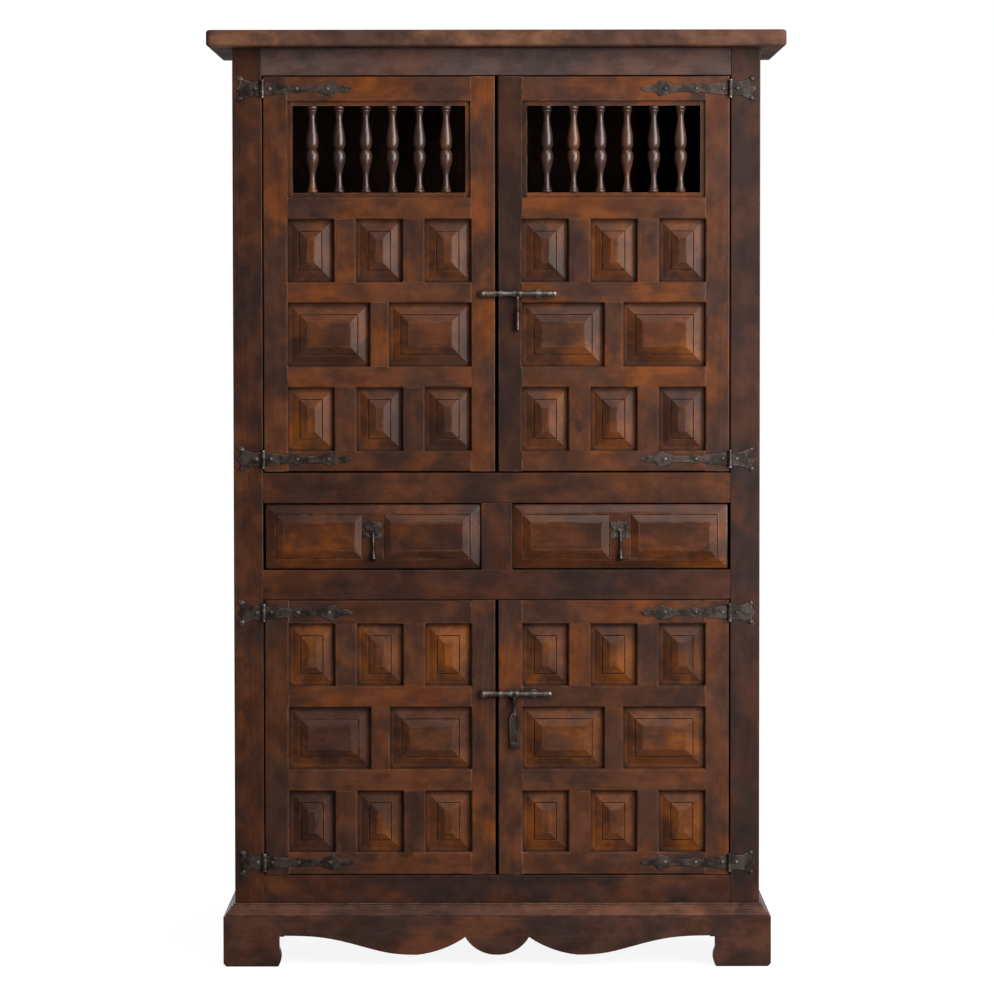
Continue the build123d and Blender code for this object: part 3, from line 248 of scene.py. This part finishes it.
def dress(node, finish, width=0.0008, crease=40, tones=None):
    """New piece for a CAD node: its boards with eased arrises, and the grain laid along each one.

    tones maps a board's place in line to a shade of its own: from 0 to 1 as any board has, or
    below 0 for one darker than the rest.
    """
    points, faces, grain, tone = [], [], [], []
    for index, board in enumerate(boards_of(node)):
        ease_arrises(board, width)
        board.verts.index_update()
        draw = random.Random(f"{node} {index}")
        low = Vector([min(vert.co[axis] for vert in board.verts) for axis in range(3)])
        high = Vector([max(vert.co[axis] for vert in board.verts) for axis in range(3)])
        size = high - low
        along, across, through = sorted(range(3), key=lambda axis: -size[axis])
        slope, lean = draw.uniform(-0.03, 0.03), draw.uniform(-0.04, 0.04)
        start, side_step = draw.uniform(-40, 40), draw.uniform(-0.03, 0.03)
        depth, board_tone = draw.uniform(0.018, 0.07), draw.random()
        board_tone = (tones or {}).get(index, board_tone)
        first = len(points)
        for vert in board.verts:
            place = vert.co - (low + high) / 2
            points.append(tuple(vert.co))
            grain.extend((
                place[along] + start,
                place[across] + side_step + slope * place[along],
                place[through] + depth + lean * place[along]))
            tone.append(board_tone)
        faces.extend([first + vert.index for vert in face.verts] for face in board.faces)
        board.free()
    mesh = bpy.data.meshes.new(f"{node}_finished")
    mesh.from_pydata(points, [], faces)
    mesh.attributes.new("grain", "FLOAT_VECTOR", "POINT").data.foreach_set("vector", grain)
    mesh.attributes.new("tone", "FLOAT", "POINT").data.foreach_set("value", tone)
    mesh.shade_smooth()
    mesh.set_sharp_from_angle(angle=math.radians(crease))
    mesh.materials.append(finish)
    piece = bpy.data.objects.new(f"{node}_finished", mesh)
    scene.collection.objects.link(piece)
    even = piece.modifiers.new("even_shading", "WEIGHTED_NORMAL")
    even.keep_sharp = True
    even.weight = 80
    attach(piece, frame["nodes"][node]["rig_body"])
    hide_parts(node)


def group_of(name, inputs, outputs):
    """Empty shader group that takes and gives plain values, and its input and output nodes."""
    tree = bpy.data.node_groups.new(name, "ShaderNodeTree")
    for label, start in inputs.items():
        socket = tree.interface.new_socket(
            name=label, in_out="INPUT", socket_type="NodeSocketFloat")
        socket.default_value = start
    for label in outputs:
        tree.interface.new_socket(name=label, in_out="OUTPUT", socket_type="NodeSocketFloat")
    return tree, tree.nodes.new("NodeGroupInput"), tree.nodes.new("NodeGroupOutput")


def cloud(tree, vector, scale=1.0, detail=3.0, rough=0.6, stretch=(1, 1, 1), shift=(0, 0, 0)):
    """Noise in grain coordinates: so many lumps to the metre, or per axis in stretch."""
    laid = wire(tree, "ShaderNodeMapping", {"Vector": vector, "Scale": stretch, "Location": shift})
    noise = wire(tree, "ShaderNodeTexNoise", {
        "Vector": laid.outputs[0], "Scale": scale, "Detail": detail, "Roughness": rough})
    return noise.outputs["Fac"]


# Growth rings, fibres, knots and uneven take-up of stain, in metres along the board.
pine, pine_in, pine_out = group_of(
    "pine_figure", {"Ring Width": 0.005, "Knot Amount": 0.3},
    ("Rings", "Fibre", "Knots", "Stain", "Patch", "Blotch", "Relief", "Tone"))
lay = wire(pine, "ShaderNodeAttribute", attribute_name="grain").outputs["Vector"]
shade = wire(pine, "ShaderNodeAttribute", attribute_name="tone").outputs["Fac"]
axes = wire(pine, "ShaderNodeSeparateXYZ", {0: lay})
along, across, through = axes.outputs["X"], axes.outputs["Y"], axes.outputs["Z"]

knot_stretch, ragged_along, ragged_across = 0.62, 0.02, -0.012
ragged = cloud(pine, lay, scale=90.0, detail=2.0, rough=0.5)
knot_along = maths(pine, "MULTIPLY_ADD", ragged, ragged_along,
                   maths(pine, "MULTIPLY", along, knot_stretch))
knot_across = maths(pine, "MULTIPLY_ADD", ragged, ragged_across, across)
knot_plane = wire(pine, "ShaderNodeCombineXYZ", {"X": knot_along, "Y": knot_across})
knot_cell = wire(pine, "ShaderNodeTexVoronoi", {
    "Vector": knot_plane.outputs[0], "Scale": 7.5, "Randomness": 1.0},
    voronoi_dimensions="2D", feature="F1")
knot_pick = wire(pine, "ShaderNodeSeparateColor", {0: knot_cell.outputs["Color"]})
knot_there = maths(pine, "LESS_THAN", knot_pick.outputs["Red"], pine_in.outputs["Knot Amount"])
knot_size = ranged(pine, knot_pick.outputs["Green"], to_low=0.03, to_high=0.085, smooth=False)
knot_reach = maths(pine, "DIVIDE", knot_cell.outputs["Distance"], knot_size)
knot_core = maths(pine, "MULTIPLY", ranged(pine, knot_reach, low=1.3, high=0.3), knot_there)
knot_swirl = maths(pine, "MULTIPLY", ranged(pine, knot_reach, low=4.0, high=0.6), knot_there)

wander, swirl_wander = 0.02, 0.011
warp = cloud(pine, lay, rough=0.55, stretch=(2.2, 14.0, 14.0))
radius = maths(pine, "MULTIPLY_ADD", through, through, maths(pine, "MULTIPLY", across, across))
radius = maths(pine, "SQRT", radius)
radius = maths(pine, "MULTIPLY_ADD", warp, wander, radius)
radius = maths(pine, "MULTIPLY_ADD", knot_swirl, swirl_wander, radius)
year = maths(pine, "FRACT", maths(pine, "DIVIDE", radius, pine_in.outputs["Ring Width"]))
late_wood = maths(pine, "MULTIPLY", ranged(pine, year, low=0.25, high=0.86),
                  ranged(pine, year, low=1.0, high=0.9))
year_depth = cloud(pine, lay, detail=1.0, rough=0.5, stretch=(1.0, 40.0, 40.0), shift=(3, 1, 7))
rings = maths(pine, "MULTIPLY", late_wood, ranged(pine, year_depth, low=0.3, high=0.7, to_low=0.25))

fine = cloud(pine, lay, stretch=(16.0, 620.0, 620.0))
coarse = cloud(pine, lay, stretch=(5.0, 150.0, 150.0), shift=(1, 5, 2))
fibre = maths(pine, "MULTIPLY_ADD", fine, 0.5, maths(pine, "MULTIPLY", coarse, 0.5))
stain = cloud(pine, lay, detail=5.0, rough=0.62, stretch=(7.5, 9.5, 9.5), shift=(9, 3, 1))
patch = cloud(pine, lay, detail=4.0, stretch=(5.0, 6.5, 6.5), shift=(2, 8, 5))
blotch = cloud(pine, lay, detail=4.0, stretch=(19.0, 27.0, 27.0), shift=(6, 2, 4))

ring_height, fibre_height, knot_height = 0.2, 0.6, -0.5
relief = maths(pine, "MULTIPLY_ADD", rings, ring_height,
               maths(pine, "MULTIPLY", fibre, fibre_height))
relief = maths(pine, "MULTIPLY_ADD", knot_core, knot_height, relief)
for label, socket in {
        "Rings": rings, "Fibre": ranged(pine, fibre, low=0.3, high=0.7, smooth=False),
        "Knots": knot_core, "Stain": ranged(pine, stain, low=0.4, high=0.62),
        "Patch": ranged(pine, patch, low=0.45, high=0.66),
        "Blotch": ranged(pine, blotch, low=0.3, high=0.7), "Relief": relief, "Tone": shade}.items():
    pine.links.new(socket, pine_out.inputs[label])

# Arrises made paler, partly rubbed wear and partly painted highlight, and corners and recesses
# darkened by ambient occlusion, which is painted shade on the wood.
wear, wear_in, wear_out = group_of(
    "edges_and_corners", {"Edge Reach": 0.0022, "Corner Reach": 0.012}, ("Edge", "Corner"))
rounded = wire(wear, "ShaderNodeBevel", {"Radius": wear_in.outputs["Edge Reach"]}, samples=4)
plain = wire(wear, "ShaderNodeNewGeometry")
turned = wire(wear, "ShaderNodeVectorMath", {0: rounded.outputs[0], 1: plain.outputs["Normal"]},
              operation="DOT_PRODUCT")
spot = wire(wear, "ShaderNodeTexCoord")
rub = cloud(wear, spot.outputs["Object"], scale=42.0)
# Ambient occlusion within Corner Reach: the Corner mask darkens where shade falls, so it paints
# shade.
open_air = wire(wear, "ShaderNodeAmbientOcclusion", {"Distance": wear_in.outputs["Corner Reach"]},
                samples=6).outputs["AO"]
edge_wear_and_highlight = maths(wear, "MULTIPLY", ranged(wear, turned.outputs["Value"], low=0.999, high=0.86),
                  ranged(wear, rub, low=0.4, high=0.64, to_low=0.1))
edge_wear_and_highlight = maths(wear, "MULTIPLY", edge_wear_and_highlight, ranged(wear, open_air, low=0.45, high=0.8))
wear.links.new(edge_wear_and_highlight, wear_out.inputs["Edge"])
wear.links.new(ranged(wear, open_air, low=0.92, high=0.35), wear_out.inputs["Corner"])


def grey_of(tree, value):
    """Value as a grey colour."""
    grey = wire(tree, "ShaderNodeCombineColor", {"Red": value, "Green": value, "Blue": value})
    return grey.outputs[0]


def mixed(tree, factor, first, second, kind="MIX"):
    """Two colours mixed by a factor, each a plain colour or a socket."""
    node = wire(tree, "ShaderNodeMix", data_type="RGBA", blend_type=kind)
    colour_factor, colour_first, colour_second = node.inputs[0], node.inputs[6], node.inputs[7]
    for socket, value in ((colour_factor, factor), (colour_first, first), (colour_second, second)):
        if isinstance(value, bpy.types.NodeSocket):
            tree.links.new(value, socket)
        elif isinstance(value, tuple):
            socket.default_value = (*value, 1.0)
        else:
            socket.default_value = value
    return node.outputs[2]


def shade_of(colour, share):
    """Darker colour of the same hue."""
    return tuple(value * share for value in colour)


def stained_finish(name, brown, amber, dark, worn_and_highlit_edge, tone_spread=0.5, knots=0.3, rings=0.16,
                   roughness=0.5, coat=0.3, coat_roughness=0.28, edge=0.6, corner=0.75,
                   corner_reach=0.012):
    """Pine stained unevenly and sealed with satin lacquer."""
    deep_share, knot_share, tone_to_deep = 0.85, 0.7, -0.6
    material = bpy.data.materials.new(name)
    material.use_nodes = True
    tree = material.node_tree
    tree.nodes.clear()
    figure = wire(tree, "ShaderNodeGroup", node_tree=pine)
    figure.inputs["Knot Amount"].default_value = knots
    use = wire(tree, "ShaderNodeGroup", node_tree=wear)
    use.inputs["Corner Reach"].default_value = corner_reach

    lean = maths(tree, "MULTIPLY_ADD", figure.outputs["Tone"], tone_spread, -tone_spread / 2)
    warm = maths(tree, "ADD", figure.outputs["Patch"], lean, clamp=True)
    deep = maths(tree, "MULTIPLY_ADD", lean, tone_to_deep, figure.outputs["Stain"], clamp=True)
    colour = mixed(tree, warm, brown, amber)
    colour = mixed(tree, maths(tree, "MULTIPLY", deep, deep_share), colour, dark)
    streak = ranged(tree, figure.outputs["Fibre"], to_low=0.92, to_high=1.08, smooth=False)
    smudge = ranged(tree, figure.outputs["Blotch"], to_low=0.76, to_high=1.24)
    old_board = ranged(tree, figure.outputs["Tone"], low=-2.0, high=0.0, to_low=0.62, smooth=False)
    streak = maths(tree, "MULTIPLY", maths(tree, "MULTIPLY", streak, smudge), old_board)
    colour = mixed(tree, 1.0, colour, grey_of(tree, streak), "MULTIPLY")
    late = ranged(tree, figure.outputs["Rings"], to_low=1.0, to_high=1.0 - rings, smooth=False)
    colour = mixed(tree, 1.0, colour, grey_of(tree, late), "MULTIPLY")
    colour = mixed(tree, maths(tree, "MULTIPLY", figure.outputs["Knots"], knot_share), colour,
                   shade_of(dark, 0.45))
    # Paler arrises: partly rubbed wear and partly painted highlight along the edges.
    colour = mixed(tree, maths(tree, "MULTIPLY", use.outputs["Edge"], edge), colour, worn_and_highlit_edge)
    # Painted shade: the colour darkens towards corners and recesses by the Corner mask.
    colour = mixed(tree, maths(tree, "MULTIPLY", use.outputs["Corner"], corner), colour,
                   shade_of(dark, 0.3))

    fibre_dull, stain_dull, corner_dull = 0.1, 0.08, 0.25
    gloss = maths(tree, "MULTIPLY_ADD", figure.outputs["Fibre"], fibre_dull,
                  roughness - fibre_dull / 2)
    gloss = maths(tree, "MULTIPLY_ADD", figure.outputs["Stain"], stain_dull, gloss)
    gloss = maths(tree, "MULTIPLY_ADD", use.outputs["Corner"], corner_dull, gloss)
    raised = wire(tree, "ShaderNodeBump", {
        "Strength": 0.3, "Distance": 0.0005, "Height": figure.outputs["Relief"]})
    surface = wire(tree, "ShaderNodeBsdfPrincipled", {
        "Base Color": colour, "Roughness": gloss, "Normal": raised.outputs[0],
        "Specular IOR Level": 0.09, "Coat Weight": coat, "Coat Roughness": coat_roughness})
    wire(tree, "ShaderNodeOutputMaterial", {"Surface": surface.outputs[0]})
    return material


carcass_finish = stained_finish(
    "carcass_boards", brown=(0.056, 0.018, 0.0085), amber=(0.092, 0.0275, 0.0085),
    dark=(0.022, 0.0115, 0.0096), worn_and_highlit_edge=(0.2, 0.09, 0.042), knots=0.12)
for board_node in ("side_boards", "front_stiles", "drawer_rails", "bottom_rail", "drawer_divider"):
    dress(board_node, carcass_finish)

# The top is coloured lighter than the carcass and has no lacquer: painted sheen. The rail under it
# is coloured greyer still: painted reflection.
top_painted_sheen_finish = stained_finish(
    "top_painted_sheen", brown=(0.125, 0.056, 0.036), amber=(0.2, 0.088, 0.042),
    dark=(0.06, 0.033, 0.025), worn_and_highlit_edge=(0.36, 0.21, 0.13), knots=0.2, roughness=0.72, coat=0.0)
dress("top_board", top_painted_sheen_finish, width=0.0)
frieze_painted_reflection_finish = stained_finish(
    "frieze_painted_reflection", brown=(0.082, 0.05, 0.044), amber=(0.1, 0.045, 0.031),
    dark=(0.06, 0.042, 0.04), worn_and_highlit_edge=(0.25, 0.15, 0.1), knots=0.1)
dress("top_rail", frieze_painted_reflection_finish, width=0.0004)

# ------------------------------------------------------------------ plinth
# The plinth is pine, sawn to lobes and cusps and nailed on foot blocks, with a
# planed moulding mitred round it. Its arrises are rubbed paler than the carcass's.

plinth_finish = stained_finish(
    "plinth_boards", brown=(0.072, 0.027, 0.0165), amber=(0.11, 0.035, 0.0145),
    dark=(0.032, 0.0175, 0.0145), worn_and_highlit_edge=(0.3, 0.15, 0.085), knots=0.16, coat=0.2)
for board_node in ("front_apron", "side_aprons"):
    dress(board_node, plinth_finish, width=0.0012)
# The moulding is coloured lighter than the aprons, with paler arrises: painted highlight on its
# fillets.
moulding_painted_highlight_finish = stained_finish(
    "plinth_moulding_painted_highlight", brown=(0.098, 0.041, 0.027), amber=(0.135, 0.051, 0.027),
    dark=(0.045, 0.023, 0.018), worn_and_highlit_edge=(0.4, 0.23, 0.15), knots=0.1, coat=0.2, edge=0.9)
dress("base_moulding", moulding_painted_highlight_finish, width=0.0004)

# ------------------------------------------------------------ inside boards
# Floors, shelves and runners are plain pine with no lacquer, coloured near black as painted shade
# for the closed cupboard.
# The back boards, the drawer boxes and the foot blocks keep one thin pale wash.

# Near-black colour: painted shade inside the cupboard.
inside_painted_shade_finish = stained_finish(
    "inside_painted_shade", brown=(0.034, 0.0155, 0.0085), amber=(0.048, 0.02, 0.009),
    dark=(0.017, 0.0085, 0.006), worn_and_highlit_edge=(0.1, 0.055, 0.03), roughness=0.7, coat=0.0, edge=0.3)
for board_node in ("cupboard_floors", "shelves", "shelf_battens", "door_stops", "drawer_runners"):
    dress(board_node, inside_painted_shade_finish, width=0.0006)

washed_finish = stained_finish(
    "washed_pine", brown=(0.2, 0.115, 0.06), amber=(0.26, 0.14, 0.065), dark=(0.12, 0.068, 0.038),
    worn_and_highlit_edge=(0.36, 0.24, 0.13), knots=0.35, rings=0.35, roughness=0.75, coat=0.0, edge=0.3)
dress("foot_blocks", washed_finish, width=0.0006)

# The back boards are darkened on the face that looks into the cupboard: painted shade, like the
# inside.
back_finish = washed_finish.copy()
back_finish.name = "back_boards"
two_sided = back_finish.node_tree
facing = wire(two_sided, "ShaderNodeTexCoord")
facing = wire(two_sided, "ShaderNodeSeparateXYZ", {0: facing.outputs["Normal"]})
inner_face = ranged(two_sided, facing.outputs["Y"], low=-0.2, high=-0.6)
surface = next(node for node in two_sided.nodes if node.type == "BSDF_PRINCIPLED")
washed_colour = surface.inputs["Base Color"].links[0].from_socket
# Painted shade: the inward face is darkened to near black.
inward_face_painted_shade = mixed(two_sided, 1.0, washed_colour, (0.09, 0.074, 0.08), "MULTIPLY")
two_sided.links.new(mixed(two_sided, inner_face, washed_colour, inward_face_painted_shade),
                    surface.inputs["Base Color"])
dress("back_boards", back_finish, width=0.0006)

# ------------------------------------------------------------------- doors
# Each door is a mortised pine frame round fielded panels, which have mitred slopes
# and a quirk. The upper pair is open at the top, behind a row of turned spindles.

# The door frames' paler arrises are partly wear and partly painted highlight along the door edges
# and the openings.
frame_finish = stained_finish(
    "stained_pine", brown=(0.09, 0.0285, 0.0105), amber=(0.145, 0.0385, 0.0062),
    dark=(0.04, 0.0185, 0.0135), worn_and_highlit_edge=(0.36, 0.2, 0.12), tone_spread=0.25, knots=0.12, edge=0.55)
# The panels take more of the Corner darkening: painted shade in the recess round each field.
panel_finish = stained_finish(
    "stained_pine_panels", brown=(0.088, 0.0275, 0.0105), amber=(0.165, 0.048, 0.0065),
    dark=(0.041, 0.018, 0.013), worn_and_highlit_edge=(0.3, 0.14, 0.065), tone_spread=0.6, knots=0.04,
    coat=0.2, coat_roughness=0.27, corner=0.9)
spindle_finish = stained_finish(
    "turned_pine", brown=(0.058, 0.027, 0.02), amber=(0.1, 0.036, 0.016),
    dark=(0.032, 0.018, 0.0155), worn_and_highlit_edge=(0.25, 0.13, 0.08), tone_spread=0.8, knots=0.0,
    roughness=0.4, coat=1.0, coat_roughness=0.23, corner_reach=0.008)

# A few boards came from darker stock or are grimed by hands, such as the stile by the upper bolt.
dark_boards = {
    "upper_right_door_stiles": {0: -2.3}, "lower_left_door_stiles": {0: -0.9},
    "upper_left_door_rails": {2: -0.9, 8: -0.5, 9: -0.6}, "upper_right_door_rails": {1: -0.6},
    "lower_left_door_rails": {3: -0.7, 7: -0.6}, "lower_right_door_rails": {5: -0.6}}
door_names = ("upper_left_door", "upper_right_door", "lower_left_door", "lower_right_door")
for door in door_names:
    for board_node in (f"{door}_stiles", f"{door}_rails"):
        dress(board_node, frame_finish, width=0.00025,
              tones=dark_boards.get(board_node))
    dress(f"{door}_panels", panel_finish, width=0.0003)
    if door.startswith("upper"):
        dress(f"{door}_spindles", spindle_finish, width=0.0, crease=50)

# ----------------------------------------------------------------- drawers
# Drawer fronts are solid pine with a mitred band round two fielded panels, and
# a plain strip for the pull. The boxes behind are nailed pine under a pale wash.

# The drawer fronts take more of the Corner darkening: painted shade round their fields.
drawer_finish = stained_finish(
    "stained_drawer_pine", brown=(0.072, 0.0205, 0.0062), amber=(0.148, 0.038, 0.0042),
    dark=(0.038, 0.0145, 0.008), worn_and_highlit_edge=(0.34, 0.17, 0.085), tone_spread=0.4,
    rings=0.34, coat=0.45, coat_roughness=0.25, corner=0.9, corner_reach=0.009)
drawer_names = ("left_drawer", "right_drawer")
for drawer in drawer_names:
    dress(f"{drawer}_front", drawer_finish, width=0.0003)
    dress(f"{drawer}_box", washed_finish, width=0.0006)
    dress(f"{drawer}_bottom", washed_finish, width=0.0004)

# -------------------------------------------------------------------- iron
# Strap hinges, leaves, bolts and drops are hand forged, blackened and waxed.
# Their arrises and nail heads are rubbed bright, and nails hold them all.


def forged_finish(name, dull, worn, bright, roughness, metallic):
    """Blackened iron with hammer marks and fire scale, rubbed bright along its arrises."""
    bright_share, grime_share, corner_dull, pit_height = 0.8, 0.8, 0.3, 0.18
    material = bpy.data.materials.new(name)
    material.use_nodes = True
    tree = material.node_tree
    tree.nodes.clear()
    use = wire(tree, "ShaderNodeGroup", node_tree=wear)
    use.inputs["Edge Reach"].default_value = 0.0016
    use.inputs["Corner Reach"].default_value = 0.006
    place = wire(tree, "ShaderNodeTexCoord").outputs["Object"]
    hammered = cloud(tree, place, scale=95.0, detail=1.0, rough=0.4)
    pitted = cloud(tree, place, scale=420.0)
    scaled = cloud(tree, place, scale=42.0, detail=4.0, rough=0.65)
    colour = mixed(tree, ranged(tree, scaled, low=0.4, high=0.62), dull, worn)
    colour = mixed(tree, maths(tree, "MULTIPLY", use.outputs["Edge"], bright_share), colour, bright)
    colour = mixed(tree, maths(tree, "MULTIPLY", use.outputs["Corner"], grime_share), colour,
                   shade_of(dull, 0.3))
    gloss = ranged(tree, pitted, low=0.3, high=0.7,
                   to_low=roughness - 0.1, to_high=roughness + 0.1, smooth=False)
    gloss = maths(tree, "MULTIPLY_ADD", use.outputs["Corner"], corner_dull, gloss)
    relief = maths(tree, "MULTIPLY_ADD", pitted, pit_height, hammered)
    bumpy = wire(tree, "ShaderNodeBump", {"Strength": 0.6, "Distance": 0.0009, "Height": relief})
    surface = wire(tree, "ShaderNodeBsdfPrincipled", {
        "Base Color": colour, "Roughness": gloss, "Metallic": metallic, "Normal": bumpy.outputs[0]})
    wire(tree, "ShaderNodeOutputMaterial", {"Surface": surface.outputs[0]})
    return material


plate_iron = forged_finish(
    "forged_iron", dull=(0.019, 0.0135, 0.011), worn=(0.072, 0.05, 0.04), bright=(0.4, 0.33, 0.28),
    roughness=0.4, metallic=0.5)
nail_iron = forged_finish(
    "nail_heads", dull=(0.09, 0.075, 0.068), worn=(0.26, 0.22, 0.2), bright=(0.55, 0.5, 0.46),
    roughness=0.33, metallic=0.8)
bolt_iron = forged_finish(
    "handled_iron", dull=(0.11, 0.1, 0.088), worn=(0.3, 0.28, 0.25), bright=(0.6, 0.56, 0.5),
    roughness=0.34, metallic=0.75)
keeper_iron = forged_finish(
    "keeper_iron", dull=(0.075, 0.05, 0.04), worn=(0.2, 0.16, 0.13), bright=(0.5, 0.44, 0.38),
    roughness=0.38, metallic=0.7)
hasp_iron = forged_finish(
    "hasp_iron", dull=(0.05, 0.031, 0.023), worn=(0.1, 0.07, 0.055), bright=(0.68, 0.61, 0.55),
    roughness=0.32, metallic=0.8)
drop_iron = forged_finish(
    "grip_iron", dull=(0.032, 0.026, 0.023), worn=(0.085, 0.068, 0.06), bright=(0.66, 0.6, 0.54),
    roughness=0.3, metallic=0.85)

strap_nodes = [f"{door}_hinge_straps" for door in door_names]
nail_nodes = [f"{door}_hinge_nails" for door in door_names]
for plate_node in ["hinge_leaves"] + strap_nodes:
    dress(plate_node, plate_iron, width=0.0007, crease=45)
for nail_node in ["hinge_leaf_nails", "hinge_pins"] + nail_nodes:
    dress(nail_node, nail_iron, width=0.0, crease=45)
for tier in ("upper", "lower"):
    for bolt_node, finish in (
            (f"{tier}_bolt", bolt_iron), (f"{tier}_bolt_staples", bolt_iron),
            (f"{tier}_bolt_keeper", keeper_iron), (f"{tier}_bolt_handle", hasp_iron)):
        dress(bolt_node, finish, width=0.0, crease=45)
for drawer in drawer_names:
    dress(f"{drawer}_pull_plate", plate_iron, width=0.0005, crease=45)
    dress(f"{drawer}_pull_drop", drop_iron, width=0.0, crease=45)
